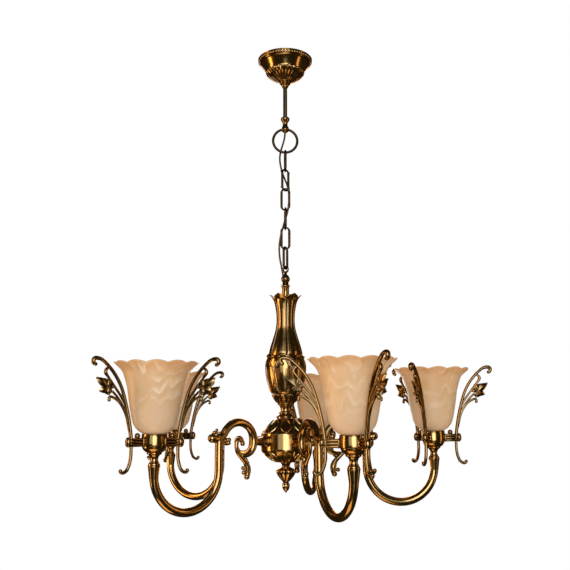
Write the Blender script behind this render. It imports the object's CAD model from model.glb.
import math

import bmesh
import bpy
import numpy as np
from mathutils import Matrix, Vector


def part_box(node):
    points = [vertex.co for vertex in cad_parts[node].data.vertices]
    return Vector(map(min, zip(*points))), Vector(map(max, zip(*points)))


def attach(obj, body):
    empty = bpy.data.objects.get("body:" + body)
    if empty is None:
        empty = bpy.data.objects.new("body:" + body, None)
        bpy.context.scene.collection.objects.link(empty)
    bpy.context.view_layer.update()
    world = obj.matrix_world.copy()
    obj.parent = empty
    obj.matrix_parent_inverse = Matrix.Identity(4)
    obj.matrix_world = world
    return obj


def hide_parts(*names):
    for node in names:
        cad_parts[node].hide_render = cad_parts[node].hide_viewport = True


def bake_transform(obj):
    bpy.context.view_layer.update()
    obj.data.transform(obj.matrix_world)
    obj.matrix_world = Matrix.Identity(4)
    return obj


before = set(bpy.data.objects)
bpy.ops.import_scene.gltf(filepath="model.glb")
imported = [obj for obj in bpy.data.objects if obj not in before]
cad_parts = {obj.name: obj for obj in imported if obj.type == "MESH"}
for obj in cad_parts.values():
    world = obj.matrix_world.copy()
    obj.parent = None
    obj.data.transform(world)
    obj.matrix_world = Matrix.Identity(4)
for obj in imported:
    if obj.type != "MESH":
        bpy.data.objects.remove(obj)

bl_info = {
    "name": "Chandelier looks",
    "version": (1, 0, 0),
    "blender": (4, 5, 0),
    "location": "View3D > Sidebar > Chandelier",
    "description": "Dresses the packed chandelier in brass, glass and flex, and sets the stage",
    "category": "Object",
}

# Sizes of the object are in millimetres; MM turns them into the scene's metres.
MM = 0.001
ARMS = 5
REACH = 260.3
CUP_TURNS = (-3, 0, 0, 0, 0)
FLEX_DIAMETER = 3.4
FLEX_ROUTE = (
    (0, 4.3, -141), (-0.2, 4.4, -152), (-4, 5.2, -166), (-8.4, 5, -180),
    (-10.3, 3.6, -195), (-8.6, 2.6, -209), (-5.6, 2.2, -221), (-2.2, 1.4, -231),
    (1.2, -1.8, -241), (4.4, -4.8, -251), (6.2, -6, -265), (6, -6.6, -281),
    (4.2, -4.8, -297), (-0.6, -1.8, -312), (-4.6, -4, -327), (-8.4, -4.8, -341),
    (-11, -3.6, -355), (-11.6, -2.2, -370), (-10.2, -1.8, -385), (-7, -2.4, -401),
    (-4.2, -2.8, -418),
)
# The flex is cut where it hangs beside the middle of each link, so that each stretch bends with one joint.
FLEX_CUTS = (-172, -204, -238, -274, -311, -348, -384)
# Below this body the flex is blended upwards: downwards, rounding throws the stretch off the chain.
FLEX_FROM_BELOW = "chain_link_4"
FLEX_SIDES = 14
CHAIN = ("ceiling_mount", "hanging_ring", *(f"chain_link_{i}" for i in range(1, 7)), "fixture")
LINK_TURNS = (90, 35, -15, 90, 0, 60)
LINK_BOW = 7.1
CUSPED = (2, 4, 6)
SPUR_ANGLE = math.radians(35)
# The bracket's leaf: (angle, reach) round its outline, then the directions of its lobes.
LEAF_OUTLINE = (
    (7, 8.7), (27, 16.2), (39, 20.8), (59, 14.3), (86, 10.7), (98, 13.2), (135, 9.9), (178, 10.5), (203, 6),
    (220, 8), (261, 10.4), (300, 9), (337, 12.7),
)
LEAF_VEINS = (39, 98, 178, 261, 337)
# The beads on the leaf's lobes: angle, reach, radius.
LEAF_BEADS = ((39, 21.8, 2.0), (337, 13.0, 1.9), (261, 9.6, 2.4), (178, 9.8, 2.4), (98, 13.0, 2.0))
# The stage, in metres and degrees, and the camera's sensor in millimetres.
CAMERA_PLACE = (-0.0895, -1.3600, -0.6597)
CAMERA_LOOK = (0.0650, 0.9979)
CAMERA_PITCH = 9.476
CAMERA_ROLL = -0.109
SENSOR_WIDTH = 36
AIM = (0, 0, -0.6)
FRONT_AIM = (0, 0, -0.55)
FRONT_SIZE = (1.15, 1.6)
WARM_SIZE = (0.4, 1.8)
CARD_AZIMUTHS = ((-272, -199), (-199, -101), (-83, 19), (19, 88))
CARD_DISTANCE = 2.5
CARD_HEIGHTS = (-2.4, 1.6)
FLOOR_LEVEL = -2.6


# Small tools

def span(node):
    """Top and foot of a CAD node, in millimetres."""
    low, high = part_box(node)
    return high.z / MM, low.z / MM


def smooth(points, per=8):
    """A smooth line through points; two points stay a straight line."""
    p = np.array(points, float)
    if len(p) == 2:
        return p
    ends = np.vstack([2 * p[0] - p[1], p, 2 * p[-1] - p[-2]])
    t = np.linspace(0, 1, per, endpoint=False)[:, None]
    out = []
    for a, b, c, d in zip(ends, ends[1:], ends[2:], ends[3:]):
        out.append(b + 0.5 * t * (c - a + t * (2 * a - 5 * b + 4 * c - d + t * (3 * b - a - 3 * c + d))))
    return np.vstack([*out, p[-1:]])


def grid_faces(rows, cols, closed=True):
    """Quads between the rows of a grid of vertices."""
    i = np.arange(rows - 1)[:, None] * cols
    j = np.arange(cols if closed else cols - 1)[None]
    k = (j + 1) % cols
    return np.stack([i + j, i + k, i + cols + k, i + cols + j], -1).reshape(-1, 4)


def circle(count):
    """Evenly spaced angles round a circle."""
    return np.arange(count) * 2 * math.pi / count


def octagon(angle):
    """The radius of an eight-sided bar, as a share of its corners' radius."""
    eighth = math.pi / 4
    return np.cos(eighth / 2) / np.cos((angle + eighth / 2) % eighth - eighth / 2)


def below(top, runs):
    """Runs of (radius, drop) points, hung from a height."""
    return [[(radius, top - drop) for radius, drop in run] for run in runs]


def lathe(runs, around, shape=None, per=8):
    """A turned form from runs of (radius, height) points; shape(angle, radius, height) carves it."""
    line = np.vstack([smooth(run, per) for run in runs])
    radius, turn = np.meshgrid(line[:, 0], circle(around), indexing="ij")
    height = np.repeat(line[:, 1][:, None], around, 1)
    tone = np.zeros_like(radius)
    if shape:
        radius, height, tone = shape(turn, radius, height)
    verts = np.stack([radius * np.cos(turn), radius * np.sin(turn), height], -1).reshape(-1, 3)
    return verts, grid_faces(*radius.shape), tone.ravel()


def trace(start, heading, runs, step=1.2):
    """Points of a flat path: each run is a straight length or a (radius, turn) arc, tangent to the last."""
    x, y = start
    way = math.radians(heading)
    points = [(x, y)]
    for run in runs:
        radius, turn = run if isinstance(run, tuple) else (None, 0)
        length = abs(math.radians(turn)) * radius if radius else run
        count = max(2, round(length / step))
        for _ in range(count):
            bend = math.radians(turn) / count
            chord = 2 * radius * math.sin(abs(bend) / 2) if radius else length / count
            x += chord * math.cos(way + bend / 2)
            y += chord * math.sin(way + bend / 2)
            way += bend
            points.append((x, y))
    return np.array(points)


def tube(path, radius, sides=16, flat=1.0, section=None):
    """A round-ended bar along a path in the XZ plane; section(angle, share) swells or grooves it."""
    path = np.array(path, float)
    radius = np.broadcast_to(np.array(radius, float), len(path)).copy()
    way = np.gradient(path, axis=0)
    way /= np.linalg.norm(way, axis=1)[:, None]
    share = np.linspace(0, 1, len(path))
    cap = np.radians([80, 62, 42, 20])
    head = path[0] - way[0] * (radius[0] * np.sin(cap))[:, None]
    foot = path[-1] + way[-1] * (radius[-1] * np.sin(cap[::-1]))[:, None]
    path = np.vstack([head, path, foot])
    way = np.vstack([np.repeat(way[:1], 4, 0), way, np.repeat(way[-1:], 4, 0)])
    share = np.concatenate([np.zeros(4), share, np.ones(4)])
    radius = np.concatenate([radius[0] * np.cos(cap), radius, radius[-1] * np.cos(cap[::-1])])
    angle = circle(sides)
    swell = np.ones((len(path), sides))
    tone = np.zeros((len(path), sides))
    if section:
        swell, tone = np.broadcast_arrays(*section(angle[None, :], share[:, None]))
    out = radius[:, None] * swell * np.cos(angle)
    side = radius[:, None] * swell * np.sin(angle) * flat
    x = path[:, :1] - way[:, 1:] * out
    z = path[:, 1:] + way[:, :1] * out
    verts = np.stack([x, side, z], -1).reshape(-1, 3)
    faces = grid_faces(len(path), sides).tolist()
    last = (len(path) - 1) * sides
    faces += [list(range(sides)), list(range(last, last + sides))]
    return verts, faces, tone.ravel()


def ball(centre, radius, stretch=(1, 1, 1), sides=18):
    """A ball, stretched along its axes."""
    line = [(radius * math.sin(a), -radius * math.cos(a)) for a in np.linspace(0.02, math.pi - 0.02, 12)]
    verts, faces, tone = lathe([[a, b] for a, b in zip(line, line[1:])], sides)
    return verts * np.array(stretch) + np.array(centre), faces, tone


def moved(part, turn=0.0, shift=(0, 0, 0)):
    """A form turned about Z by degrees, then shifted."""
    a = math.radians(turn)
    spin = np.array([[math.cos(a), -math.sin(a), 0], [math.sin(a), math.cos(a), 0], [0, 0, 1]])
    return part[0] @ spin.T + np.array(shift), part[1], part[2]


def make(name, parts, material):
    """A mesh object from forms, in place, with their tone and their own coordinates kept as attributes."""
    verts, faces, tones = [], [], []
    base = 0
    for part_verts, part_faces, tone in parts:
        verts.append(part_verts)
        tones.append(tone)
        faces += [[i + base for i in face] for face in np.array(part_faces, dtype=object).tolist()]
        base += len(part_verts)
    verts = np.vstack(verts)
    mesh = bpy.data.meshes.new(name)
    mesh.from_pydata((verts * MM).tolist(), [], faces)
    tone = mesh.attributes.new("tone", "FLOAT", "POINT")
    tone.data.foreach_set("value", np.concatenate(tones).astype(np.float32))
    own = mesh.attributes.new("own", "FLOAT_VECTOR", "POINT")
    own.data.foreach_set("vector", (verts * MM).astype(np.float32).ravel())
    form = bmesh.new()
    form.from_mesh(mesh)
    bmesh.ops.remove_doubles(form, verts=form.verts, dist=1e-7)
    bmesh.ops.recalc_face_normals(form, faces=form.faces)
    form.to_mesh(mesh)
    form.free()
    mesh.shade_smooth()
    mesh.materials.append(material)
    thing = bpy.data.objects.new(name, mesh)
    bpy.context.scene.collection.objects.link(thing)
    return thing


def repeater():
    """A node group that sets copies of its geometry on another object's points, turned by their 'turn'."""
    group = bpy.data.node_groups.get("Set_round")
    if group:
        return group
    group = bpy.data.node_groups.new("Set_round", "GeometryNodeTree")
    face = group.interface
    face.new_socket("Geometry", in_out="INPUT", socket_type="NodeSocketGeometry")
    face.new_socket("Seats", in_out="INPUT", socket_type="NodeSocketObject")
    face.new_socket("Material", in_out="INPUT", socket_type="NodeSocketMaterial")
    face.new_socket("Geometry", in_out="OUTPUT", socket_type="NodeSocketGeometry")
    kinds = (
        "NodeGroupInput", "GeometryNodeObjectInfo", "GeometryNodeInputNamedAttribute",
        "ShaderNodeCombineXYZ", "FunctionNodeEulerToRotation", "GeometryNodeInstanceOnPoints",
        "GeometryNodeRealizeInstances", "GeometryNodeSetMaterial", "NodeGroupOutput",
    )
    nodes = [group.nodes.new(kind) for kind in kinds]
    given, seats, turn, spin, rotation, copies, solid, paint, out = nodes
    for place, node in enumerate(nodes):
        node.location = (180 * place, 0)
    turn.data_type = "FLOAT"
    turn.inputs["Name"].default_value = "turn"
    join = group.links.new
    join(given.outputs["Seats"], seats.inputs["Object"])
    join(turn.outputs["Attribute"], spin.inputs["Z"])
    join(spin.outputs[0], rotation.inputs[0])
    join(seats.outputs["Geometry"], copies.inputs["Points"])
    join(given.outputs["Geometry"], copies.inputs["Instance"])
    join(rotation.outputs[0], copies.inputs["Rotation"])
    join(copies.outputs[0], solid.inputs[0])
    join(solid.outputs[0], paint.inputs["Geometry"])
    join(given.outputs["Material"], paint.inputs["Material"])
    join(paint.outputs[0], out.inputs[0])
    return group


def set_round(thing, seats):
    """Puts a copy of the piece on every (place mm, turn in degrees) seat; the result becomes its mesh."""
    points = bpy.data.meshes.new("Seats")
    points.from_pydata([[c * MM for c in place] for place, _ in seats], [], [])
    turn = points.attributes.new("turn", "FLOAT", "POINT")
    turn.data.foreach_set("value", [math.radians(t) for _, t in seats])
    holder = bpy.data.objects.new("Seats", points)
    bpy.context.scene.collection.objects.link(holder)
    group = repeater()
    modifier = thing.modifiers.new("Set_round", "NODES")
    modifier.node_group = group
    names = {s.name: s.identifier for s in group.interface.items_tree if s.in_out == "INPUT"}
    modifier[names["Seats"]] = holder
    modifier[names["Material"]] = thing.data.materials[0]
    graph = bpy.context.evaluated_depsgraph_get()
    made = bpy.data.meshes.new_from_object(thing.evaluated_get(graph))
    thing.modifiers.remove(modifier)
    old = thing.data
    thing.data = made
    made.name = thing.name
    bpy.data.meshes.remove(old)
    bpy.data.objects.remove(holder)
    bpy.data.meshes.remove(points)
    return thing


def arm_seats():
    """The five arms' turns about the column."""
    return [((0, 0, 0), 360 * i / ARMS) for i in range(ARMS)]


def lamp_seats():
    """The five lamps' places and turns."""
    seats = []
    for angle, turn in zip(circle(ARMS), CUP_TURNS):
        seats.append(((REACH * math.cos(angle), REACH * math.sin(angle), 0), math.degrees(angle) + turn))
    return seats


def wear(thing, body, slot, *nodes):
    """The piece rides on a body, takes a record slot and stands for its CAD nodes."""
    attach(thing, body)
    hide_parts(*nodes)
    return thing


def numbered(name):
    """A node's name on each of the five arms."""
    return [f"{name}_{i}" for i in range(1, ARMS + 1)]


def bump(x, centre, width):
    """A soft bump of height 1."""
    return np.exp(-((x - centre) / width) ** 2)


def ramp(x, low, high):
    """0 below low, 1 above high, smooth between."""
    t = np.clip((x - low) / (high - low), 0, 1)
    return t * t * (3 - 2 * t)


def sector(turn, count, offset=0.0):
    """Degrees from the nearest of evenly spaced directions."""
    step = 360 / count
    return (np.degrees(turn) - offset + step / 2) % step - step / 2


# Materials

def colour(name):
    """A colour from the finish settings."""
    return tuple(getattr(bpy.context.scene.chandelier_finish, name))


class Paint:
    """A node material under construction."""

    def __init__(self, name):
        self.material = bpy.data.materials.new(name)
        self.material.use_nodes = True
        self.tree = self.material.node_tree
        self.shader = self.tree.nodes["Principled BSDF"]
        self.place = 0

    def add(self, kind, **values):
        node = self.tree.nodes.new(kind)
        self.place -= 170
        node.location = (self.place, -120)
        for key, value in values.items():
            if hasattr(node, key) and key not in node.inputs:
                setattr(node, key, value)
            else:
                self.feed(node, key.replace("_", " "), value)
        return node

    def feed(self, node, key, value):
        socket = node.inputs[int(key[1:])] if key[0] == "i" and key[1:].isdigit() else node.inputs[key]
        if isinstance(value, bpy.types.NodeSocket):
            self.tree.links.new(value, socket)
        else:
            socket.default_value = value

    def set(self, **values):
        for key, value in values.items():
            self.feed(self.shader, key.replace("_", " "), value)

    def read(self, name):
        return self.add("ShaderNodeAttribute", attribute_name=name)

    def noise(self, vector, scale, detail=4.0, distortion=0.0):
        values = {"Vector": vector, "Scale": scale, "Detail": detail, "Distortion": distortion}
        return self.add("ShaderNodeTexNoise", **values).outputs["Fac"]

    def math(self, operation, a, b=0.0, c=0.0):
        return self.add("ShaderNodeMath", operation=operation, i0=a, i1=b, i2=c).outputs[0]

    def spread(self, value, low, high, to_low, to_high):
        ends = {"From_Min": low, "From_Max": high, "To_Min": to_low, "To_Max": to_high}
        return self.add("ShaderNodeMapRange", Value=value, **ends).outputs[0]

    def mix(self, share, a, b):
        node = self.add("ShaderNodeMix", data_type="RGBA")
        for socket, value in zip((node.inputs[0], node.inputs[6], node.inputs[7]), (share, a, b)):
            if isinstance(value, bpy.types.NodeSocket):
                self.tree.links.new(value, socket)
            else:
                socket.default_value = value
        return node.outputs[2]

    def bump(self, height, strength, distance):
        node = self.add("ShaderNodeBump", Height=height, Strength=strength, Distance=distance)
        self.tree.links.new(node.outputs[0], self.shader.inputs["Normal"])


def brass(age=0.0):
    """Lacquered antique brass, dark in the carving's hollows and with age, rubbed bright on its edges."""
    name = f"Antique_brass_{round(100 * age)}"
    known = bpy.data.materials.get(name)
    if known:
        return known
    p = Paint(name)
    place = p.add("ShaderNodeTexCoord").outputs["Object"]
    tone = p.read("tone").outputs["Fac"]
    cloud = p.noise(place, 30, 2)
    dark = p.math("ADD", p.math("MULTIPLY", tone, 0.85), p.spread(cloud, 0.35, 0.75, age, age + 0.25))
    dark = p.add("ShaderNodeClamp", Value=dark).outputs[0]
    rubbed = p.math("MAXIMUM", p.math("MULTIPLY", tone, -1.0), 0.0)
    body = p.mix(dark, colour("brass"), colour("brass_dark"))
    p.set(Base_Color=p.mix(rubbed, body, colour("brass_rubbed")))
    p.set(Metallic=1.0, Specular_Tint=(1, 0.5, 0.15, 1))
    p.set(Roughness=p.math("ADD", p.spread(cloud, 0.3, 0.7, 0.14, 0.2), p.math("MULTIPLY", dark, 0.1)))
    p.set(Coat_Weight=0.8 - 0.7 * age, Coat_Roughness=0.08, Coat_IOR=1.55)
    return p.material


def amber_glass():
    """Satin tea-coloured alabaster glass with pale wavy veins round it and a warmer lip."""
    p = Paint("Alabaster_glass")
    own = p.read("own").outputs["Vector"]
    tone = p.read("tone").outputs["Fac"]
    parts = p.add("ShaderNodeSeparateXYZ", Vector=own)
    angle = p.math("ARCTAN2", parts.outputs["Y"], parts.outputs["X"])
    drift = p.noise(own, 11, 3)
    wave = p.math("SINE", p.math("MULTIPLY", angle, 12.0))
    swing = p.math("MULTIPLY", wave, p.spread(p.noise(own, 19, 2), 0.35, 0.65, 0.001, 0.008))
    height = p.math("ADD", parts.outputs["Z"], swing)
    height = p.math("ADD", height, p.math("MULTIPLY", drift, 0.13))
    line = p.math("FRACT", p.math("MULTIPLY", height, 44.0))
    vein = p.math("MULTIPLY", p.spread(line, 0.0, 0.6, 1.0, 0.0), p.spread(line, 0.0, 0.05, 0.0, 1.0))
    high = p.spread(parts.outputs["Z"], -0.665, -0.61, 0.06, 0.75)
    patches = p.spread(p.noise(own, 20, 3), 0.46, 0.64, 0.0, 1.0)
    vein = p.math("MULTIPLY", vein, p.math("MULTIPLY", patches, high))
    cloud = p.noise(own, 22, 4, 0.6)
    body = p.mix(p.spread(cloud, 0.3, 0.7, 0.0, 1.0), colour("glass"), colour("glass_cloud"))
    body = p.mix(p.spread(parts.outputs["Z"], -0.70, -0.62, 0.45, 0.0), body, colour("glass_foot"))
    body = p.mix(vein, body, colour("glass_vein"))
    p.set(Base_Color=p.mix(tone, body, colour("glass_lip")))
    p.set(Subsurface_Weight=0.25, Subsurface_Scale=0.012, Subsurface_Radius=(1.0, 0.55, 0.3))
    p.set(Roughness=p.spread(cloud, 0.3, 0.7, 0.34, 0.46), IOR=1.5)
    p.bump(p.noise(own, 160, 2), 0.05, 0.001)
    return p.material


def bulb_glass():
    """Opal bulb glass over a brass cap."""
    p = Paint("Opal_bulb")
    own = p.read("own").outputs["Vector"]
    tone = p.read("tone").outputs["Fac"]
    cloud = p.noise(own, 60, 2)
    opal = p.mix(cloud, (0.92, 0.89, 0.82, 1), (0.86, 0.81, 0.71, 1))
    p.set(Base_Color=p.mix(tone, opal, (0.55, 0.40, 0.18, 1)), Metallic=tone)
    p.set(Roughness=p.spread(cloud, 0.3, 0.7, 0.16, 0.3))
    p.set(Subsurface_Weight=0.1, Subsurface_Scale=0.004)
    return p.material


def sheath():
    """Gold-brown flex: two twisted cores under a clear sheath."""
    p = Paint("Flex_sheath")
    place = p.add("ShaderNodeUVMap", uv_map="UVMap").outputs[0]
    parts = p.add("ShaderNodeSeparateXYZ", Vector=place)
    around = p.math("MULTIPLY", parts.outputs["X"], 2 * 2 * math.pi)
    along = p.math("MULTIPLY", parts.outputs["Y"], 520.0)
    twist = p.spread(p.math("SINE", p.math("ADD", around, along)), -1.0, 1.0, 0.0, 1.0)
    p.set(Base_Color=p.mix(twist, colour("flex_dark"), colour("flex_pale")))
    p.set(Coat_Weight=0.1, Coat_Roughness=0.12)
    p.set(Roughness=p.spread(twist, 0.0, 1.0, 0.5, 0.34))
    p.bump(twist, 0.35, 0.0004)
    return p.material


def plain(name, dark, pale, metal, rough):
    """A plain plastic or plated metal with a faint mottling and a moulded or brushed grain."""
    p = Paint(name)
    place = p.add("ShaderNodeTexCoord").outputs["Object"]
    cloud = p.noise(place, 90, 3)
    grain = p.noise(place, 1500, 2)
    p.set(Base_Color=p.mix(p.spread(cloud, 0.3, 0.7, 0.0, 1.0), dark, pale), Metallic=metal)
    p.set(Roughness=p.spread(grain, 0.3, 0.7, rough - 0.08, rough + 0.08))
    p.bump(grain, 0.15, 0.0003)
    return p.material


# Settings

class ChandelierCarving(bpy.types.PropertyGroup):
    """Counts, turns and sizes of the carving and the wires."""

    petals: bpy.props.IntProperty(
        name="Vase petals", description="Number of petals round the vase", default=6, min=3, max=12)
    panels: bpy.props.IntProperty(
        name="Belly panels", description="Number of sunk panels round the belly",
        default=6, min=3, max=12)
    panel_turn: bpy.props.FloatProperty(
        name="Panels' turn", description="Turn of the first panel from the first arm",
        default=math.radians(17), subtype="ANGLE")
    hub_leaves: bpy.props.IntProperty(
        name="Hub leaves", description="Number of leaves round each of the hub's domes",
        default=8, min=4, max=16)
    hub_turn: bpy.props.FloatProperty(
        name="Hub leaves' turn", description="Turn of the first leaf from the first arm",
        default=math.radians(-3.5), subtype="ANGLE")
    finial_lobes: bpy.props.IntProperty(
        name="Finial lobes", description="Number of lobes round the finial", default=8, min=4, max=16)
    gadroons: bpy.props.IntProperty(
        name="Canopy gadroons", description="Number of gadroons round the canopy",
        default=26, min=8, max=60)
    beads: bpy.props.IntProperty(
        name="Canopy beads", description="Number of beads round the canopy's rim",
        default=60, min=16, max=120)
    bead_radius: bpy.props.FloatProperty(
        name="Bead radius", description="Radius of a bead on the canopy's rim",
        default=0.0019, min=0.0005, max=0.004, precision=4, unit="LENGTH")
    scallops: bpy.props.IntProperty(
        name="Shade scallops", description="Number of scallops round a shade's lip",
        default=12, min=6, max=24)
    scallop_rise: bpy.props.FloatProperty(
        name="Scallop rise", description="Half the depth of the dips between the scallops",
        default=0.0017, min=0, max=0.005, precision=4, unit="LENGTH")
    ring_wire: bpy.props.FloatProperty(
        name="Ring wire", description="Radius of the hanging ring's wire",
        default=0.0024, min=0.001, max=0.004, precision=4, unit="LENGTH")
    link_wire: bpy.props.FloatProperty(
        name="Link wire", description="Radius of a chain link's wire at its bows",
        default=0.0016, min=0.001, max=0.003, precision=4, unit="LENGTH")


class ChandelierFinish(bpy.types.PropertyGroup):
    """The colours of the brass, the glass and the flex."""

    brass: bpy.props.FloatVectorProperty(
        name="Brass", description="Clean brass",
        default=(0.41, 0.25, 0.076, 1), size=4, subtype="COLOR")
    brass_dark: bpy.props.FloatVectorProperty(
        name="Brass, dark", description="Aged brass and the carving's hollows",
        default=(0.040, 0.023, 0.007, 1), size=4, subtype="COLOR")
    brass_rubbed: bpy.props.FloatVectorProperty(
        name="Brass, rubbed", description="Brass on raised edges",
        default=(0.72, 0.50, 0.21, 1), size=4, subtype="COLOR")
    glass: bpy.props.FloatVectorProperty(
        name="Glass", description="The shades' glass",
        default=(0.59, 0.38, 0.19, 1), size=4, subtype="COLOR")
    glass_cloud: bpy.props.FloatVectorProperty(
        name="Glass, clouds", description="Pale clouds in the shades' glass",
        default=(0.64, 0.44, 0.26, 1), size=4, subtype="COLOR")
    glass_foot: bpy.props.FloatVectorProperty(
        name="Glass, foot", description="The shades' glass near the cups",
        default=(0.61, 0.47, 0.36, 1), size=4, subtype="COLOR")
    glass_vein: bpy.props.FloatVectorProperty(
        name="Glass, veins", description="Veins in the shades' glass",
        default=(0.88, 0.75, 0.59, 1), size=4, subtype="COLOR")
    glass_lip: bpy.props.FloatVectorProperty(
        name="Glass, lip", description="The shades' lip",
        default=(0.58, 0.31, 0.12, 1), size=4, subtype="COLOR")
    flex_dark: bpy.props.FloatVectorProperty(
        name="Flex, dark", description="The flex between its cores",
        default=(0.022, 0.011, 0.003, 1), size=4, subtype="COLOR")
    flex_pale: bpy.props.FloatVectorProperty(
        name="Flex, pale", description="The flex over its cores",
        default=(0.075, 0.038, 0.010, 1), size=4, subtype="COLOR")


class ChandelierStage(bpy.types.PropertyGroup):
    """Camera and light."""

    lens: bpy.props.FloatProperty(
        name="Lens", description="The camera's focal length",
        default=48.55, min=10, max=200, unit="CAMERA")
    key: bpy.props.FloatProperty(
        name="Key light", description="Power of the key light", default=5.0, min=0, unit="POWER")
    fill: bpy.props.FloatProperty(
        name="Front light", description="Power of the front light; the rear one follows it",
        default=20.0, min=0, unit="POWER")
    warm: bpy.props.FloatProperty(
        name="Warm light", description="Power from which each warm light takes its share",
        default=13.5, min=0, unit="POWER")
    warm_colour: bpy.props.FloatVectorProperty(
        name="Warm light's colour", description="Colour of the warm lights",
        default=(1, 0.56, 0.2), size=3, subtype="COLOR")
    ambient: bpy.props.FloatProperty(
        name="Ambient", description="Strength of the white surroundings on matt surfaces",
        default=0.48, min=0, max=1, subtype="FACTOR")


class PieceOperator:
    """What the piece operators share."""

    bl_options = {"REGISTER"}

    @property
    def carving(self):
        return bpy.context.scene.chandelier_carving


class CHANDELIER_OT_stage(bpy.types.Operator):
    """Sets the floor, the backdrop's light, the lamps and the camera at the photograph's angle"""

    bl_idname = "chandelier.stage"
    bl_label = "Stage"

    def lamp(self, name, place, aim, size, power, colour=(1, 1, 1)):
        data = bpy.data.lights.new(name, "AREA")
        data.shape = "RECTANGLE"
        data.size, data.size_y = size
        data.energy = power
        data.color = colour
        thing = bpy.data.objects.new(name, data)
        thing.location = place
        thing.rotation_euler = (Vector(aim) - Vector(place)).to_track_quat("-Z", "Y").to_euler()
        bpy.context.scene.collection.objects.link(thing)

    def card(self, name, azimuths, paint):
        """A curved card outside the view, as set round any polished metal in a studio."""
        mesh = bpy.data.meshes.new(name)
        turns = np.radians(np.linspace(*azimuths, 9))
        rim = [(CARD_DISTANCE * math.cos(a), CARD_DISTANCE * math.sin(a)) for a in turns]
        verts = [(x, y, z) for z in CARD_HEIGHTS for x, y in rim]
        mesh.from_pydata(verts, [], grid_faces(2, len(rim), closed=False).tolist())
        self.hide(name, mesh, paint)

    def sheet(self, name, half, level):
        """A flat square mesh."""
        mesh = bpy.data.meshes.new(name)
        corners = ((-half, -half), (half, -half), (half, half), (-half, half))
        mesh.from_pydata([(x, y, level) for x, y in corners], [], [(0, 1, 2, 3)])
        return mesh

    def hide(self, name, mesh, paint):
        """A card that only polished surfaces see."""
        mesh.materials.append(paint)
        card = bpy.data.objects.new(name, mesh)
        card.visible_camera = False
        card.visible_diffuse = False
        card.visible_shadow = False
        card.visible_transmission = False
        bpy.context.scene.collection.objects.link(card)

    def execute(self, context):
        scene = context.scene
        stage = scene.chandelier_stage
        scene.view_settings.view_transform = "Standard"
        world = bpy.data.worlds.new("Studio")
        scene.world = world
        world.use_nodes = True
        tree = world.node_tree
        sky = tree.nodes["Background"]
        rays = tree.nodes.new("ShaderNodeLightPath")
        seen = rays.outputs["Is Camera Ray"]
        for kind in ("Is Glossy Ray", "Is Transmission Ray"):
            most = tree.nodes.new("ShaderNodeMath")
            most.operation = "MAXIMUM"
            tree.links.new(seen, most.inputs[0])
            tree.links.new(rays.outputs[kind], most.inputs[1])
            seen = most.outputs[0]
        level = tree.nodes.new("ShaderNodeMapRange")
        tree.links.new(seen, level.inputs["Value"])
        level.inputs["To Min"].default_value = stage.ambient
        tree.links.new(level.outputs[0], sky.inputs["Strength"])
        sky.inputs["Color"].default_value = (1, 1, 1, 1)
        self.lamp("Key", (-0.9, -1.9, -0.2), AIM, (1.1, 1.4), stage.key)
        self.lamp("Front", (0.02, -2.1, -0.3), FRONT_AIM, FRONT_SIZE, stage.fill)
        self.lamp("Rear", (-0.1, 2.1, -0.3), FRONT_AIM, FRONT_SIZE, stage.fill * 0.75)
        warm = (
            ("Warm_low", (-0.35, -0.5, -2.1), (1.1, 0.9), 0.45),
            ("Warm_right", (1.9, -0.6, -0.6), WARM_SIZE, 0.35),
            ("Warm_left", (-1.95, -0.1, -0.6), WARM_SIZE, 1.2),
            ("Warm_rear", (0.5, 1.95, -0.2), WARM_SIZE, 0.4),
        )
        for name, place, size, share in warm:
            self.lamp(name, place, AIM, size, stage.warm * share, stage.warm_colour)
        olive = plain("Card_olive", (0.030, 0.027, 0.010, 1), (0.042, 0.038, 0.014, 1), 0, 0.9)
        for number, azimuths in enumerate(CARD_AZIMUTHS, start=1):
            self.card(f"Card_{number}", azimuths, olive)
        for name, height in zip(("Card_base", "Card_lid"), CARD_HEIGHTS):
            self.hide(name, self.sheet(name, CARD_DISTANCE, height), olive)
        mesh = self.sheet("Floor", 5, 0)
        mesh.materials.append(plain("Floor_white", (0.93, 0.93, 0.92, 1), (0.96, 0.96, 0.95, 1), 0, 0.8))
        floor = bpy.data.objects.new("Floor", mesh)
        floor.location = (0, 0, FLOOR_LEVEL)
        scene.collection.objects.link(floor)
        data = bpy.data.cameras.new("Camera")
        data.lens = stage.lens
        data.sensor_width = SENSOR_WIDTH
        data.clip_end = 40
        camera = bpy.data.objects.new("Camera", data)
        camera.location = CAMERA_PLACE
        pitch = math.radians(CAMERA_PITCH)
        look = Vector((*(c * math.cos(pitch) for c in CAMERA_LOOK), math.sin(pitch)))
        roll = Matrix.Rotation(math.radians(CAMERA_ROLL), 4, "Z")
        camera.rotation_euler = (look.to_track_quat("-Z", "Y").to_matrix().to_4x4() @ roll).to_euler()
        scene.collection.objects.link(camera)
        scene.camera = camera
        return {"FINISHED"}


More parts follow.
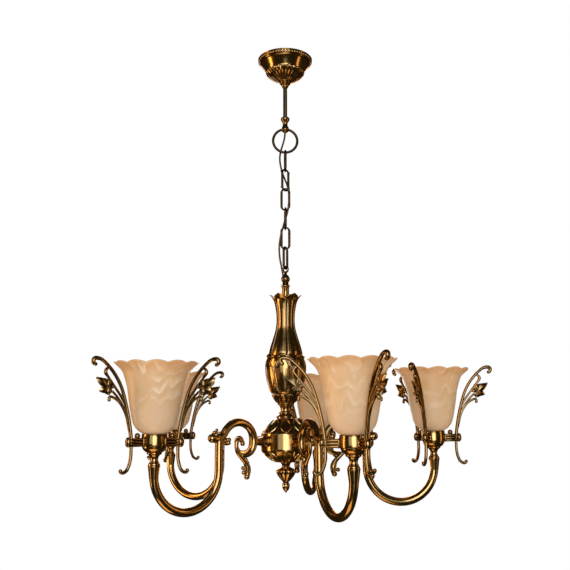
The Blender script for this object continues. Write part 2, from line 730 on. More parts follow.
class CHANDELIER_OT_flex(PieceOperator, bpy.types.Operator):
    """Makes the flex as one smooth line, cut into stretches that each bend with one joint of the chain"""

    bl_idname = "chandelier.flex"
    bl_label = "Flex"

    def line(self):
        data = bpy.data.curves.new("Flex_line", "CURVE")
        data.dimensions = "3D"
        data.resolution_u = 16
        spline = data.splines.new("NURBS")
        spline.points.add(len(FLEX_ROUTE) - 1)
        for point, place in zip(spline.points, FLEX_ROUTE):
            point.co = (*(c * MM for c in place), 1)
        spline.order_u = 3
        spline.use_endpoint_u = True
        thing = bpy.data.objects.new("Flex_line", data)
        bpy.context.scene.collection.objects.link(thing)
        mesh = bpy.data.meshes.new_from_object(thing)
        points = np.array([v.co for v in mesh.vertices])
        bpy.data.objects.remove(thing)
        bpy.data.curves.remove(data)
        bpy.data.meshes.remove(mesh)
        return points

    def stretch(self, name, points, start, material):
        way = np.gradient(points, axis=0)
        way /= np.linalg.norm(way, axis=1)[:, None]
        side = np.cross(way, (0, 1, 0))
        side /= np.linalg.norm(side, axis=1)[:, None]
        other = np.cross(side, way)
        sides = FLEX_SIDES
        angle = circle(sides)[None, :, None]
        radius = FLEX_DIAMETER * MM / 2
        rings = points[:, None] + radius * (np.cos(angle) * side[:, None] + np.sin(angle) * other[:, None])
        faces = grid_faces(len(points), sides)
        mesh = bpy.data.meshes.new(name)
        last = (len(points) - 1) * sides
        ends = [list(range(sides))[::-1], list(range(last, last + sides))]
        mesh.from_pydata(rings.reshape(-1, 3).tolist(), [], faces.tolist() + ends)
        along = start + np.concatenate([[0], np.cumsum(np.linalg.norm(np.diff(points, axis=0), axis=1))])
        uv = mesh.uv_layers.new(name="UVMap")
        for face in mesh.polygons:
            columns = [v % sides for v in face.vertices]
            wrap = max(columns) == sides - 1 and min(columns) == 0
            for loop, v, column in zip(face.loop_indices, face.vertices, columns):
                uv.data[loop].uv = ((column or (sides if wrap else 0)) / sides, along[v // sides])
        mesh.shade_smooth()
        mesh.materials.append(material)
        thing = bpy.data.objects.new(name, mesh)
        bpy.context.scene.collection.objects.link(thing)
        return thing, along[-1]

    def execute(self, context):
        points = self.line()
        material = sheath()
        cuts = [int(np.argmin(abs(points[:, 2] - height * MM))) for height in FLEX_CUTS]
        order = [0, *cuts, len(points) - 1]
        start = 0.0
        for number, (first, last) in enumerate(zip(order, order[1:])):
            part = points[first:last + 1]
            above, below = CHAIN[number], CHAIN[number + 1]
            thing, reach = self.stretch(f"flex_{number + 1}", part, start, material)
            head, foot = (0, 0, part[0][2]), (0, 0, part[-1][2])
            if above == FLEX_FROM_BELOW:
                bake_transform(thing)
                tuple(foot)
                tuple(head)
            else:
                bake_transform(thing)
                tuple(head)
                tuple(foot)
            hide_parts("flex")
            start = reach
        return {"FINISHED"}


class CHANDELIER_OT_canopy(PieceOperator, bpy.types.Operator):
    """Turns the canopy bowl with its gadroons and sets the beads round its rim"""

    bl_idname = "chandelier.canopy"
    bl_label = "Canopy"

    def execute(self, context):
        top, foot = span("canopy")
        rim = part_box("canopy")[1].x / MM
        carving = self.carving

        def shape(turn, radius, height):
            drop = top - height
            share = ramp(drop, 25, 27.5) * (1 - ramp(drop, 43.5, 45.5))
            wave = abs(np.sin(turn * carving.gadroons / 2))
            crown = bump(drop, 27.8, 2)
            radius = radius + share * 1.3 * (wave - 0.6) + crown * 0.8 * wave
            lines = bump(drop, 7.6, 0.5) + bump(drop, 10.6, 0.5)
            tone = 1.2 * share * bump(wave, 0, 0.35) + 0.9 * lines
            return radius, height, tone - 0.5 * crown * wave

        tall = top - foot
        outer = below(top, [
            [(rim - 2.4, 0), (rim - 1.2, 0.5)],
            [(rim - 1.2, 0.5), (rim - 0.2, 1.6), (rim - 0.8, 2.6)],
            [(rim - 1.4, 2.6), (rim - 1.8, 5), (rim - 2.8, 7)],
            [(rim - 2.4, 7), (rim - 2.6, 7.6), (rim - 4, 7.8)],
            [(rim - 4, 7.8), (rim - 3.9, 9.2), (rim - 5.6, 10.6)],
            [(rim - 5.6, 10.6), (rim - 9.7, 16), (rim - 13.7, 22), (rim - 15.6, 25.5)],
            [(rim - 15.6, 25.5), (rim - 16.4, 29), (rim - 20.3, tall - 13.5), (rim - 26, tall - 9.5),
             (rim - 33.3, tall - 5.5), (rim - 39, tall - 2), (10, tall), (6, tall)],
        ])
        inner = below(top, [
            [(6, tall - 1), (rim - 40.5, tall - 2.6), (rim - 34, tall - 6.8), (rim - 21.4, tall - 14.6),
             (rim - 17, 25.5), (rim - 10.8, 15.4), (rim - 5.8, 8.8), (rim - 2.4, 0)],
        ])
        bowl = make("canopy_bowl", [lathe(outer, 336, shape), lathe(inner, 96)], brass())
        wear(bowl, "canopy", "antique_brass", "canopy")
        bore = 3.95
        runs = below(foot, [
            [(bore, 0), (9.6, 0)], [(9.6, 0), (10.2, 1), (9.6, 2)],
            [(9.6, 2), (7, 4.6), (5.6, 7.4)], [(5.6, 7.4), (6, 8.2), (5.2, 9)],
            [(5.2, 9), (bore, 9)], [(bore, 9), (bore, 0)],
        ])
        nut = make("canopy_nut", [lathe(runs, 48, per=5)], brass(0.2))
        wear(nut, "canopy", "antique_brass", "canopy_collar")
        bead = carving.bead_radius / MM
        beads = make("canopy_beads", [ball((0, 0, 0), bead, (0.8, 1.2, 1.35), 12)], brass())
        out = rim - bead
        turns = circle(carving.beads)
        seats = [((out * math.cos(t), out * math.sin(t), top - 4.8), math.degrees(t)) for t in turns]
        wear(set_round(beads, seats), "canopy", "antique_brass")
        return {"FINISHED"}


class CHANDELIER_OT_chain(PieceOperator, bpy.types.Operator):
    """Bends the hanging ring and the chain's plain and cusped links from wire"""

    bl_idname = "chandelier.chain"
    bl_label = "Chain"

    def hoop(self, path, radius, sides=14):
        """A closed wire along a flat path."""
        way = np.roll(path, -1, 0) - np.roll(path, 1, 0)
        way /= np.linalg.norm(way, axis=1)[:, None]
        radius = np.broadcast_to(np.array(radius, float), len(path))[:, None]
        out = radius * np.cos(circle(sides))
        side = radius * np.sin(circle(sides))
        verts = np.stack([path[:, :1] - way[:, 1:] * out, side, path[:, 1:] + way[:, :1] * out], -1)
        verts = np.concatenate([verts, verts[:1]])
        return verts.reshape(-1, 3), grid_faces(len(path) + 1, sides), np.zeros(verts.shape[0] * sides)

    def execute(self, context):
        top, foot = span("hanging_ring")
        wire = self.carving.ring_wire / MM
        reach = (top - foot) / 2 - wire
        angle = circle(72)
        loop = np.stack([reach * np.cos(angle), (top + foot) / 2 + reach * np.sin(angle)], -1)
        ring = make("hanging_ring_wire", [self.hoop(loop, wire)], brass(0.9))
        wear(ring, "hanging_ring", "antique_brass", "hanging_ring")
        wire = self.carving.link_wire / MM
        bow = LINK_BOW
        for number, turn in enumerate(LINK_TURNS, start=1):
            name = f"chain_link_{number}"
            top, foot = span(name)
            half = (top - foot) / 2 - wire - bow
            path = trace((bow, -half), 90, (2 * half, (bow, 180), 2 * half, (bow, 180)), 0.9)[:-1]
            swell = wire + 0.7 * (1 - ramp(abs(path[:, 1]), half, half + bow))
            parts = [self.hoop(path, swell)]
            if number in CUSPED:
                for side, end in ((-1, -1), (-1, 1), (1, -1), (1, 1)):
                    way = np.array([side * math.cos(SPUR_ANGLE), end * math.sin(SPUR_ANGLE)])
                    root = np.array([side * bow, end * half])
                    spur = np.array([root + way * s for s in np.linspace(0.4, 4.0, 7)])
                    parts.append(tube(spur, np.linspace(2.1, 0.9, 7), 12))
            else:
                parts.append(tube(np.array([(-bow, -0.5), (-bow, 0.5)]), 2.02, 14))
            parts = [moved(p, turn, (0, 0, (top + foot) / 2)) for p in parts]
            wear(make(f"{name}_wire", parts, brass(1.0)), name, "antique_brass", name)
        return {"FINISHED"}


class CHANDELIER_OT_column(PieceOperator, bpy.types.Operator):
    """Turns and carves the column: stem, petalled vase, panelled belly, leaf cup, neck, hub and finial"""

    bl_idname = "chandelier.column"
    bl_label = "Column"

    def stem(self):
        top, foot = span("stem_tube")
        runs = below(top, [
            [(4, 0), (5.9, 0)], [(5.9, 0), (5.9, 3.6)],
            [(5.9, 3.6), (7.2, 4.2), (8, 6.2), (7.2, 8.2), (6.3, 8.8)],
            [(6.3, 8.8), (7, 9.6), (6.5, 10.6)], [(6.5, 10.6), (6.5, top - foot)],
        ])
        return "stem", [lathe(runs, 48, per=5)], ("stem_tube",)

    def vase(self):
        top, foot = span("vase")
        petals = self.carving.petals
        tall = top - foot

        def shape(turn, radius, height):
            drop = (top - height) / tall
            away = abs(sector(turn, petals)) / (180 / petals)
            lip = 1 - ramp(drop, 0.0, 0.16)
            groove = bump(away, 1, 0.07)
            bead = bump(away, 0.86, 0.05) + bump(away, 0.74, 0.04) * 0.7
            body = ramp(drop, 0.06, 0.2) * (1 - ramp(drop, 0.95, 1.0))
            radius = radius + 0.055 * radius * body * (1 - away ** 2)
            radius = radius - 1.1 * groove * (0.35 + body) + 0.5 * bead * body
            radius = radius + lip ** 2 * (2.2 * bump(away, 0, 0.28) - 1.6 * away ** 2)
            height = height - lip ** 2 * (6.2 * away ** 2.2) + lip ** 3 * 1.2 * bump(away, 0, 0.16)
            lines = bump(away, 0.80, 0.03) + bump(away, 0.92, 0.03)
            return radius, height, 0.9 * groove + 0.55 * body * lines - 0.3 * lip ** 6

        radii = (27.6, 24.4, 21.6, 18.6, 16.4, 15.6, 15.9, 17.6, 20.8, 25.4, 28.6, 29.6)
        drops = (0, 0.035, 0.08, 0.16, 0.27, 0.38, 0.48, 0.58, 0.69, 0.83, 0.95, 1)
        outer = [(r, top - tall * d) for r, d in zip(radii, drops)]
        inner = [(r - 1.6, h + 0.3) for r, h in outer[:5]][::-1]
        floor = (7.2, top - tall * 0.27)
        runs = [[floor, inner[0]], inner, [inner[-1], outer[0]], outer, [outer[-1], (24, foot)]]
        return "vase_petals", [lathe(runs, 288, shape, 7)], ("vase",)

    def belly(self):
        top, foot = span("belly")
        panels = self.carving.panels
        offset = math.degrees(self.carving.panel_turn)
        tall = top - foot

        def shape(turn, radius, height):
            drop = np.clip((top - height) / tall, 0, 1)
            away = abs(sector(turn, panels, offset)) / (180 / panels)
            half = 0.93 * np.sqrt(np.clip(1 - ((drop - 0.52) / 0.5) ** 2, 0, 1)) ** 0.8
            point = 0.02 + 1.35 * np.clip(drop - 0.05, 0, 1) ** 0.55
            half = np.where(drop < 0.3, np.minimum(half, point), half)
            edge = away - half
            inside = ramp(-edge, 0.0, 0.12)
            rib = bump(edge, 0.03, 0.055) * ramp(drop, 0.03, 0.1) * (1 - ramp(drop, 0.93, 0.99))
            second = bump(edge, 0.2, 0.05) * 0.6 * ramp(drop, 0.1, 0.2)
            radius = radius + inside * (1.2 * (1 - (away / 0.9) ** 2) - 1.5) + 1.3 * rib + 0.7 * second
            ledge = 1 - ramp(drop, 0.03, 0.07)
            height = height + ledge * 3.0 * bump(away, 0, 0.3)
            tone = 0.85 * bump(edge, -0.09, 0.06) + 0.7 * bump(edge, 0.115, 0.03) - 0.25 * rib
            return radius, height, tone * (1 - ledge)

        out = 35.2
        runs = below(top, [
            [(26, -0.4), (30.8, -0.4)],
            [(30.8, -0.4), (33.6, 0.8), (34.4, 2.4), (33.2, 3.8)],
            [(32.6, 3.8), (out - 1.4, tall * 0.12), (out - 0.3, tall * 0.24), (out, tall * 0.37),
             (out - 1.4, tall * 0.56), (out - 4.6, tall * 0.75), (26.6, tall * 0.93), (24.2, tall - 0.5)],
            [(24.2, tall - 0.5), (18, tall - 0.4)],
        ])
        return "belly_panels", [lathe(runs, 288, shape, 14)], ("belly",)

    def leaf_cup(self):
        top, foot = span("leaf_cup")
        tall = top - foot

        def shape(turn, radius, height):
            drop = (top - height) / tall
            away = abs(sector(turn, 12, 17)) / 15
            crown = 1 - ramp(drop, 0.1, 0.42)
            valley = bump(away, 1, 0.28)
            leaf = bump(away, 0, 0.5)
            above = 1 - ramp(drop, 0.7, 0.9)
            radius = radius + crown * (2.1 * leaf - 0.8) - 1.7 * valley * (1 - crown) * above
            height = height - crown * 1.6 * away ** 2
            return radius, height, (1.2 * valley + 0.15) * above - 0.35 * crown * leaf

        runs = below(top, [
            [(17, 0), (22.6, 0)],
            [(22.6, 0), (24, 1.4), (23.2, 4.6), (21.4, 9.4), (17.8, 13.6), (14.6, 16)],
            [(14.6, 16), (15.2, 17.2), (14.2, 18.6)], [(14.2, 18.6), (9, tall)],
        ])
        return "leaf_cup_leaves", [lathe(runs, 192, shape, 8)], ("leaf_cup",)

    def neck(self):
        top, foot = span("neck")
        runs = below(top, [
            [(9, 0), (11.8, 0)], [(11.8, 0), (12.4, 1), (11.6, 2)],
            [(11.6, 2), (9.8, 4.6), (9.2, 8.4), (9.9, 11.4)],
            [(9.9, 11.4), (11.8, 12.2), (12.3, 13.6), (11.8, 15), (10.7, 15.8)],
            [(10.7, 15.8), (13, 16.8), (14, 18.2)], [(14, 18.2), (15.6, 18.6)],
            [(15.6, 18.6), (16.8, 20.2), (16.4, top - foot)],
        ])

        def shape(turn, radius, height):
            drop = top - height
            lines = sum(bump(drop, at, 0.5) for at in (2, 11.4, 15.8))
            return radius, height, 0.7 * (lines + bump(drop, 18.4, 0.4))

        return "neck_rings", [lathe(runs, 72, shape, 5)], ("neck",)

    def leaves(self, top, tall, upward):
        """The carving of a hub dome: a ring of pointed petals with raised rims, and darts between them."""
        count = self.carving.hub_leaves

        def shape(turn, radius, height):
            along = (top - height) / tall
            along = np.clip(along if upward else 1 - along, 0, 1)
            away = abs(sector(turn, count, math.degrees(self.carving.hub_turn))) / (180 / count)
            share = np.clip((along - 0.04) / 0.8, 0, 1)
            half = 0.72 * np.sin(np.pi * share ** 0.8) ** 0.85
            edge = away - half
            rim = bump(edge, 0, 0.11)
            hollow = ramp(-edge, 0.05, 0.2)
            rib = bump(away, 0, 0.07) * hollow
            dart = bump(away, 1, 0.1) * ramp(along, 0.3, 0.45)
            show = ramp(along, 0.05, 0.12) * (1 - ramp(along, 0.82, 0.88))
            radius = radius + show * (1.9 * rim + 1.0 * rib + 1.0 * dart - 1.3 * hollow * (1 - rib))
            dark = 0.4 + 0.6 * bump(edge, 0.17, 0.07) + 0.6 * bump(edge, -0.16, 0.08)
            return radius, height, show * (dark - 1.4 * rim - 0.9 * rib - 0.8 * dart)

        return shape

    def hub(self):
        top, foot = span("hub_top")
        tall = top - foot
        upper = below(top, [
            [(10, 0.2), (16.6, 0.2)],
            [(16.6, 0.2), (23.4, 5), (29.6, 11.6), (35.6, tall - 9.4), (40.4, tall - 4)],
            [(40.4, tall - 4), (42.9, tall - 3.8)], [(42.9, tall - 3.8), (43.3, tall - 3.3)],
            [(43.3, tall - 3.3), (43.3, tall)],
        ])
        yield "hub_dome", [lathe(upper, 480, self.leaves(top, tall, True), 14)], ("hub_top",)
        top, foot = span("hub_band")
        band = [[(43.3, top), (43.35, top - 2), (43.35, foot + 2), (43.3, foot)]]
        yield "hub_waist", [lathe(band, 144)], ("hub_band",)
        top, foot = span("hub_bottom")
        tall = top - foot
        lower = below(top, [
            [(43.3, 0), (43.3, 3)], [(43.3, 3), (42.9, 3.5)], [(42.9, 3.5), (40.4, 3.6)],
            [(40.4, 3.6), (36.6, 9.4), (30, 15.4), (22.4, tall - 1.6), (19, tall)],
            [(19, tall), (9, tall - 0.4)],
        ])
        yield "hub_bowl", [lathe(lower, 480, self.leaves(top, tall, False), 14)], ("hub_bottom",)

    def finial(self):
        top, foot = span("finial")
        tall = top - foot
        lobes = self.carving.finial_lobes

        def shape(turn, radius, height):
            drop = (top - height) / tall
            wave = abs(np.sin(turn * lobes / 2))
            share = ramp(drop, 0.17, 0.24) * (1 - ramp(drop, 0.58, 0.66))
            radius = radius * (1 + share * 0.11 * (wave - 0.75))
            tip = ramp(drop, 0.72, 0.8)
            radius = radius * (1 + tip * 0.06 * (abs(np.sin(turn * 4)) - 0.6))
            tone = share * bump(wave, 0, 0.3) + bump(drop, 0.665, 0.015) + bump(drop, 0.15, 0.012)
            return radius, height, 0.9 * tone

        runs = below(top, [
            [(5.4, 0), (9.6, 0)], [(9.6, 0), (9.4, 1.4), (8, 3)],
            [(8, 3), (7, 6), (6.7, 7.6)], [(6.7, 7.6), (8.4, 8), (8.2, 9)],
            [(8.2, 9), (13.4, 11), (16.8, 14), (17.2, 17), (15, 22), (10.4, 28), (6, 33), (4.6, 34.6)],
            [(4.6, 34.6), (6.6, 35.4), (6.8, 36.4)],
            [(5.8, 36.8), (6.8, 39.6), (6.2, 43.4), (4.2, 47.4), (2.2, 49.4)],
            [(2.2, 49.4), (1.4, 51), (0.2, tall)],
        ])
        return "finial_bulb", [lathe(runs, 192, shape, 7)], ("finial",)

    def execute(self, context):
        upper = [self.stem(), self.vase(), self.belly(), self.leaf_cup(), self.neck()]
        for name, parts, nodes in [*upper, *self.hub(), self.finial()]:
            wear(make(name, parts, brass()), "fixture", "antique_brass", *nodes)
        return {"FINISHED"}


class CHANDELIER_OT_arms(PieceOperator, bpy.types.Operator):
    """Bends one arm with its scroll, arch, strand and curl, and sets five of it round the hub"""

    bl_idname = "chandelier.arms"
    bl_label = "Arms"

    def scroll(self, axis):
        """The boss's big scroll, narrowing to its tip, and the S-shaped strand that crosses it."""
        path = trace((101.6, axis + 32.6), 180, ((31.6, 110), (18, 85)))
        share = np.linspace(0, 1, len(path))
        strand = trace((93.5, axis - 2), 90, ((6.2, -180), 4, (20, -45), 16, (22, 70)))
        s = np.linspace(0, 1, len(strand))
        x, z = strand[-1]
        return [
            tube(path, 6.7 - 3.5 * np.clip((share - 0.6) / 0.4, 0, 1), 24),
            tube(strand, 3.6 + 1.9 * bump(s, 0.84, 0.14), 18, 0.95),
            ball((93.5, 0, axis - 2), 4.2),
            ball((x, 0, z), 5, (1, 1, 0.94)),
            ball((x + 6.4, 0, z + 7), 3.7),
        ]

    def limb(self, axis):
        """The arch with its knob, the curl under it and the U tube, with eight flats below the cup."""
        arch = trace((101.6, axis + 32.6), 0, ((33, -57), 4, (17, 66), 6))
        dip = arch[:, 1].min()
        low = axis - 44.5
        path = trace((140.7, dip + 2), -90, (dip + 2 - low, (59.8, 180), 12.2))
        share = np.linspace(0, 1, len(path))
        curl = trace((140.7, dip + 2.5), 218, (15, (5, -80)))
        x, z = arch[-1]

        def facets(angle, along):
            flat = octagon(angle)
            end = ramp(along, 0.88, 0.95)
            return 1 + end * (1.04 * flat - 1), end * 0.3 * bump(flat, 1.082, 0.03)

        return [
            tube(arch, 6.7, 24),
            tube(path, 7 + 2.1 * np.clip((share - 0.93) / 0.07, 0, 1), 32, section=facets),
            tube(curl, np.linspace(4.4, 3.1, len(curl)), 16),
            ball((curl[-1][0], 0, curl[-1][1]), 4.2),
            ball((x, 0, z), 7.5, (1.02, 1, 0.97), 24),
            ball((x - 3.8, 0, z + 9), 3.2),
        ]

    def ends(self, axis):
        """The flange under the cup and the boss that meets the hub."""
        ledge = axis - 30
        flange = below(ledge, [
            [(8.4, 3), (9.5, 2.4)], [(9.5, 2.4), (9.9, 1.2), (9.5, 0)], [(9.5, 0), (3, 0)],
        ])
        boss = [
            [(9.2, 43.4), (9.5, 46)], [(9.5, 46), (9.9, 47.4), (9.3, 48.8)],
            [(8.6, 48.8), (8.8, 50), (8.4, 51)], [(8.4, 51), (6.7, 60), (6.1, 66)], [(6.1, 66), (6, 71)],
        ]

        def cone(turn, radius, height):
            swell = np.where(height > 51.2, 1.03 * octagon(turn), 1)
            return radius * swell, height, 0.8 * bump(height, 48.8, 0.5)

        verts, faces, tone = lathe(boss, 64, cone, 5)
        verts = np.stack([verts[:, 2], verts[:, 1], axis - verts[:, 0]], -1)
        return [moved(lathe(flange, 48), 0, (REACH, 0, 0)), (verts, faces, tone)]

    def execute(self, context):
        band_top, band_foot = span("hub_band")
        axis = (band_top + band_foot) / 2 + 1.7
        parts = self.scroll(axis) + self.limb(axis) + self.ends(axis)
        arms = set_round(make("arm_scrolls", parts, brass()), arm_seats())
        wear(arms, "fixture", "antique_brass", *numbered("arm"))
        return {"FINISHED"}


class CHANDELIER_OT_lamps(PieceOperator, bpy.types.Operator):
    """Turns one lamp cup, shade, lampholder and bulb, and sets five of each"""

    bl_idname = "chandelier.lamps"
    bl_label = "Lamps"

    def cups(self):
        top, foot = span("lamp_cup_1")
        tall = top - foot
        runs = below(top, [
            [(2.5, 13.8), (18.7, 13.8)], [(18.7, 13.8), (18.7, 0)], [(18.7, 0), (19.4, 0)],
            [(19.4, 0), (20, 0.7)], [(20, 0.7), (20, 17)], [(20, 17), (19.7, 18.4), (19, 18.8)],
            [(19, 18.8), (18.2, 22), (15.6, 25.6), (11.4, 28.6)],
            [(11.4, 28.6), (11.8, 29.8), (10.2, 31.2)],
            [(9.4, 31.2), (7.2, 34), (6.1, 37.6), (6.1, 41)], [(6.1, 41), (7.4, 41.6), (7.4, 42.8)],
            [(6.6, 42.8), (8.6, 44.4), (9, tall - 1), (8.6, tall)], [(8.6, tall), (2.5, tall)],
        ])

        def shape(turn, radius, height):
            drop = top - height
            tone = bump(drop, 18.7, 0.5) + bump(drop, 31.2, 0.6) + bump(drop, 42.8, 0.5)
            return radius, height, 0.8 * tone * (radius > 4)

        return make("lamp_cups", [lathe(runs, 72, shape, 6)], brass())

    def shades(self):
        lip = span("glass_shade_1")[0]
        top = span("lamp_cup_1")[0]
        scallops = self.carving.scallops
        rise = self.carving.scallop_rise / MM
        tall = lip - top
        drops = (0, 12, 21, 39, 56, 74, 91.5, 100, 106, 109)
        radii = (65, 54, 49.5, 44.2, 41.5, 38.4, 34.4, 30, 24, 18.3)

        def shape(turn, radius, height):
            share = np.clip((height - top) / tall, 0, 1)
            near = ramp(share, 0.72, 1.0)
            wave = abs(np.cos(turn * scallops / 2))
            height = height - near ** 2 * 2 * rise * (1 - wave)
            radius = radius + near * 1.9 * (wave - 0.64)
            return radius, height, 0.55 * near ** 6

        outer = [(r, lip - d * tall / 109.2) for r, d in zip(radii, drops)]
        inner = [(r - 2.8, h + 0.3) for r, h in outer[:-2]] + [(15.5, top + 1)]
        brim = [(62.6, lip - 0.4), (63.8, lip + 0.2), (64.8, lip - 0.2), (65, lip - 1)]
        neck = below(top, [
            [(18.3, top - outer[-1][1]), (18.3, 13.4)],
            [(18.3, 13.4), (15.4, 13.4)], [(15.4, 13.4), (15.4, 11)],
        ])
        runs = [[(15.4, top - 11), (15.5, top + 1)], inner[::-1], brim, [brim[-1], *outer[1:]], *neck]
        return make("glass_shades", [lathe(runs, 240, shape, 9)], amber_glass())

    def bulbs(self):
        top, foot = span("bulb_1")
        tall = top - foot
        runs = below(top, [
            [(0.1, 0), (2.4, 1), (7.6, 12), (13, 25), (17, 36.5), (16, 45), (11, 54), (8.4, 57.4)],
            [(8.4, 57.4), (7.2, 58.4)], [(7, drop) for drop in np.linspace(58.4, tall - 4, 40)],
            [(7, tall - 4), (3, tall)], [(3, tall), (0.1, tall)],
        ])

        def shape(turn, radius, height):
            metal = ramp(top - height, 57.2, 57.8)
            thread = 0.25 * np.sin((height / 2.6 - turn / (2 * math.pi)) * 2 * math.pi)
            return radius + metal * np.where(radius > 6.5, thread - 0.25, 0), height, metal

        return [lathe(runs, 40, shape, 5)]

    def execute(self, context):
        seats = lamp_seats()
        wear(set_round(self.cups(), seats), "fixture", "antique_brass", *numbered("lamp_cup"))
        wear(set_round(self.shades(), seats), "fixture", "amber_glass", *numbered("glass_shade"))
        opal = bulb_glass()
        for number, seat in enumerate(seats, start=1):
            thing = make(f"bulb_{number}_glass", self.bulbs(), opal)
            set_round(thing, [seat])
            wear(thing, f"bulb_{number}", "bulb_glass", f"bulb_{number}")
        top, foot = span("lamp_holder_1")
        runs = below(top, [
            [(7.3, 20), (7.3, 0)], [(7.3, 0), (10.8, 0)],
            [(10.8, 0), (11.9, 1.4)], [(11.9, 1.4), (11.9, top - foot)],
        ])

        def ribs(turn, radius, height):
            return radius - 0.3 * (radius > 11.5) * (np.sin(turn * 24) > 0.4), height, np.zeros_like(radius)

        cream = plain("Holder_plastic", (0.62, 0.58, 0.50, 1), (0.70, 0.66, 0.58, 1), 0.0, 0.4)
        holders = make("lamp_holders", [lathe(runs, 144, ribs, 4)], cream)
        wear(set_round(holders, seats), "fixture", "holder", *numbered("lamp_holder"))
        return {"FINISHED"}


class CHANDELIER_OT_brackets(PieceOperator, bpy.types.Operator):
    """Bends one leafy cup bracket on its ribbed clamp bar and sets three round each cup"""

    bl_idname = "chandelier.brackets"
    bl_label = "Brackets"

    def leaf(self, middle):
        """A lobed ivy leaf in the bracket's plane, domed over its lobes, with beads on their ends."""
        angle = np.degrees(circle(144))
        reach = np.interp(angle, *zip(*LEAF_OUTLINE), period=360)
        reach = 1.12 * (np.roll(reach, 1) + 2 * reach + np.roll(reach, -1)) / 4
        crest = sum(bump((angle - at + 180) % 360 - 180, 0, 22) for at in LEAF_VEINS)
        share = np.linspace(0.03, 1, 10)[:, None]
        turn = np.radians(angle)
        sheets = []
        for side in (1, -1):
            thick = side * ((0.9 + 1.4 * crest * np.sin(np.pi * share ** 0.8)) * (1 - share ** 6) + 0.35)
            x = middle[0] + share * reach * np.cos(turn)
            z = middle[1] + share * reach * np.sin(turn)
            hollow = 0.45 * (1 - np.clip(crest, 0, 1)) * (share > 0.2) - 0.5 * ramp(share, 0.84, 0.95)
            verts = np.stack([x, thick, z], -1).reshape(-1, 3)
            sheets.append((verts, grid_faces(*x.shape), hollow.ravel()))
        for at, out, size in LEAF_BEADS:
            a = math.radians(at)
            place = (middle[0] + out * math.cos(a), 0, middle[1] + out * math.sin(a))
            sheets.append(ball(place, size, (1, 0.85, 1), 14))
        return sheets

    def wires(self, base):
        """Stem, loop, stalk with its leaf and low curl, leaning a little outward, and the foot."""
        stem = trace((0, 0), 86, ((347, -12), (102, -34), (18, -43), (4.4, -165)))
        loop = trace((8.6, 53.9), 64, ((140, -10), 34, (5.5, 95), 3.5))
        stalk = trace((8.6, 43.4), 68, ((95, -24),))
        low = trace((3.6, 18), 78, (16.6, (60, -22), (36, -34), (3.2, -140)))
        foot = trace((0, 0), -88, (17, (50, 24), (11, 56), (3.4, 90)))
        along = np.linspace(0, 1, len(stem))
        thick = 2.9 - 0.3 * ramp(along, 0.1, 0.5) + 0.7 * bump(along, 0.93, 0.06)
        parts = [
            tube(stem, thick, 16, 1.25),
            tube(loop, 1.95 + 0.8 * bump(np.linspace(0, 1, len(loop)), 0.86, 0.09), 14, 1.15),
            tube(stalk, 1.9, 12),
            tube(low, np.linspace(1.8, 2.2, len(low)), 14, 1.15),
            tube(foot, np.linspace(2.5, 2.6, len(foot)), 14, 1.15),
        ]
        for path, size in ((stem, 3.0), (low, 2.7), (foot, 3.0)):
            parts.append(ball((path[-1][0], 0, path[-1][1]), size))
        parts += self.leaf(stalk[-1] + np.array([7.7, 6.5]))
        c, s = math.cos(math.radians(2)), math.sin(math.radians(2))
        lean = np.array([[c, 0, -s], [0, 1, 0], [s, 0, c]])
        return [(verts @ lean + np.array([40, 0, base]), faces, tone) for verts, faces, tone in parts]

    def bar(self, base):
        """The ribbed clamp bar with its rim, and the ball-headed screw on it."""
        parts = []
        for level in (base - 4.3, base, base + 4.3):
            parts.append(tube(np.array([(20.2, level), (45, level)]), 2.45, 18, 1.6))
        parts.append(tube(np.array([(20.7, base - 5), (20.7, base + 5)]), 2.3, 18, 2.1))
        parts.append(ball((45.2, 0, base + 0.4), 7.6, (0.6, 0.72, 1), 24))
        parts.append(tube(np.array([(30, base + 5), (30, base + 8)]), 2.6, 14))
        return parts + [ball((30, 0, base + 9.6), 4.5, (1, 1, 0.98))]

    def execute(self, context):
        base = span("lamp_cup_1")[0] - 12.4
        parts = self.wires(base) + self.bar(base)
        parts = [moved(p, 120 * i) for i in range(3) for p in parts]
        brackets = set_round(make("cup_brackets", parts, brass(0.35)), lamp_seats())
        wear(brackets, "fixture", "antique_brass", *numbered("brackets"), "bracket_screws")
        return {"FINISHED"}


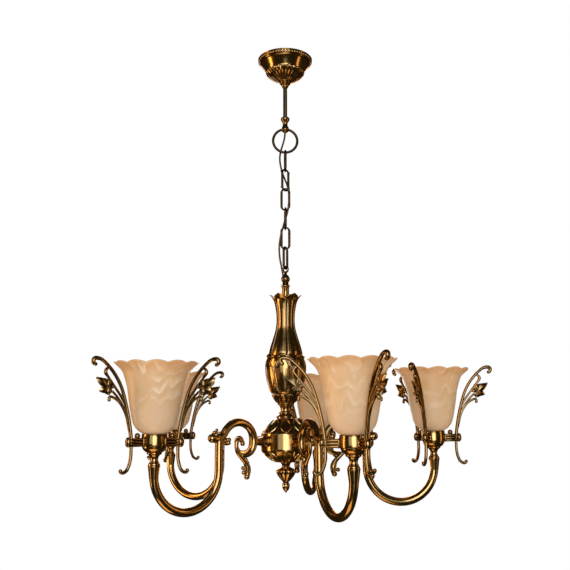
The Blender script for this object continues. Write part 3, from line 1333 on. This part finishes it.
class CHANDELIER_OT_fittings(PieceOperator, bpy.types.Operator):
    """Paints the CAD pieces that keep their own mesh"""

    bl_idname = "chandelier.fittings"
    bl_label = "Fittings"

    def execute(self, context):
        steel = plain("Plated_steel", (0.52, 0.51, 0.48, 1), (0.60, 0.58, 0.55, 1), 1.0, 0.32)
        block = plain("Terminal_plastic", (0.78, 0.77, 0.73, 1), (0.84, 0.83, 0.79, 1), 0.0, 0.45)
        kept = {
            "ceiling_strap": steel,
            "rod_nuts": steel,
            "tie_rod": steel,
            "arm_nuts": steel,
            "shade_rings": steel,
            "terminal_block": block,
            "hang_rod": brass(0.5),
            "rod_knob": brass(0.35),
            "collar_screw": brass(),
            "top_eye": brass(0.5),
        }
        for name, material in kept.items():
            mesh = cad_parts[name].data
            mesh.materials.clear()
            mesh.materials.append(material)
        return {"FINISHED"}


class CHANDELIER_PT_panel(bpy.types.Panel):
    """The settings and a button for each group of pieces"""

    bl_idname = "CHANDELIER_PT_panel"
    bl_label = "Chandelier"
    bl_space_type = "VIEW_3D"
    bl_region_type = "UI"
    bl_category = "Chandelier"

    def draw(self, context):
        scene = context.scene
        for settings in (scene.chandelier_carving, scene.chandelier_finish, scene.chandelier_stage):
            box = self.layout.box()
            for name in settings.__annotations__:
                box.prop(settings, name)
        for operator in OPERATORS:
            self.layout.operator(operator.bl_idname)


OPERATORS = (
    CHANDELIER_OT_stage,
    CHANDELIER_OT_flex,
    CHANDELIER_OT_canopy,
    CHANDELIER_OT_chain,
    CHANDELIER_OT_column,
    CHANDELIER_OT_arms,
    CHANDELIER_OT_lamps,
    CHANDELIER_OT_brackets,
    CHANDELIER_OT_fittings,
)
CLASSES = (ChandelierCarving, ChandelierFinish, ChandelierStage, *OPERATORS, CHANDELIER_PT_panel)


def register():
    for cls in CLASSES:
        bpy.utils.register_class(cls)
    bpy.types.Scene.chandelier_carving = bpy.props.PointerProperty(type=ChandelierCarving)
    bpy.types.Scene.chandelier_finish = bpy.props.PointerProperty(type=ChandelierFinish)
    bpy.types.Scene.chandelier_stage = bpy.props.PointerProperty(type=ChandelierStage)


def unregister():
    del bpy.types.Scene.chandelier_stage
    del bpy.types.Scene.chandelier_finish
    del bpy.types.Scene.chandelier_carving
    for cls in reversed(CLASSES):
        bpy.utils.unregister_class(cls)


def main():
    register()
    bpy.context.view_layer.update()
    bpy.ops.chandelier.stage()
    bpy.ops.chandelier.flex()
    bpy.ops.chandelier.canopy()
    bpy.ops.chandelier.chain()
    bpy.ops.chandelier.column()
    bpy.ops.chandelier.arms()
    bpy.ops.chandelier.lamps()
    bpy.ops.chandelier.brackets()
    bpy.ops.chandelier.fittings()


if __name__ == "__main__":
    main()
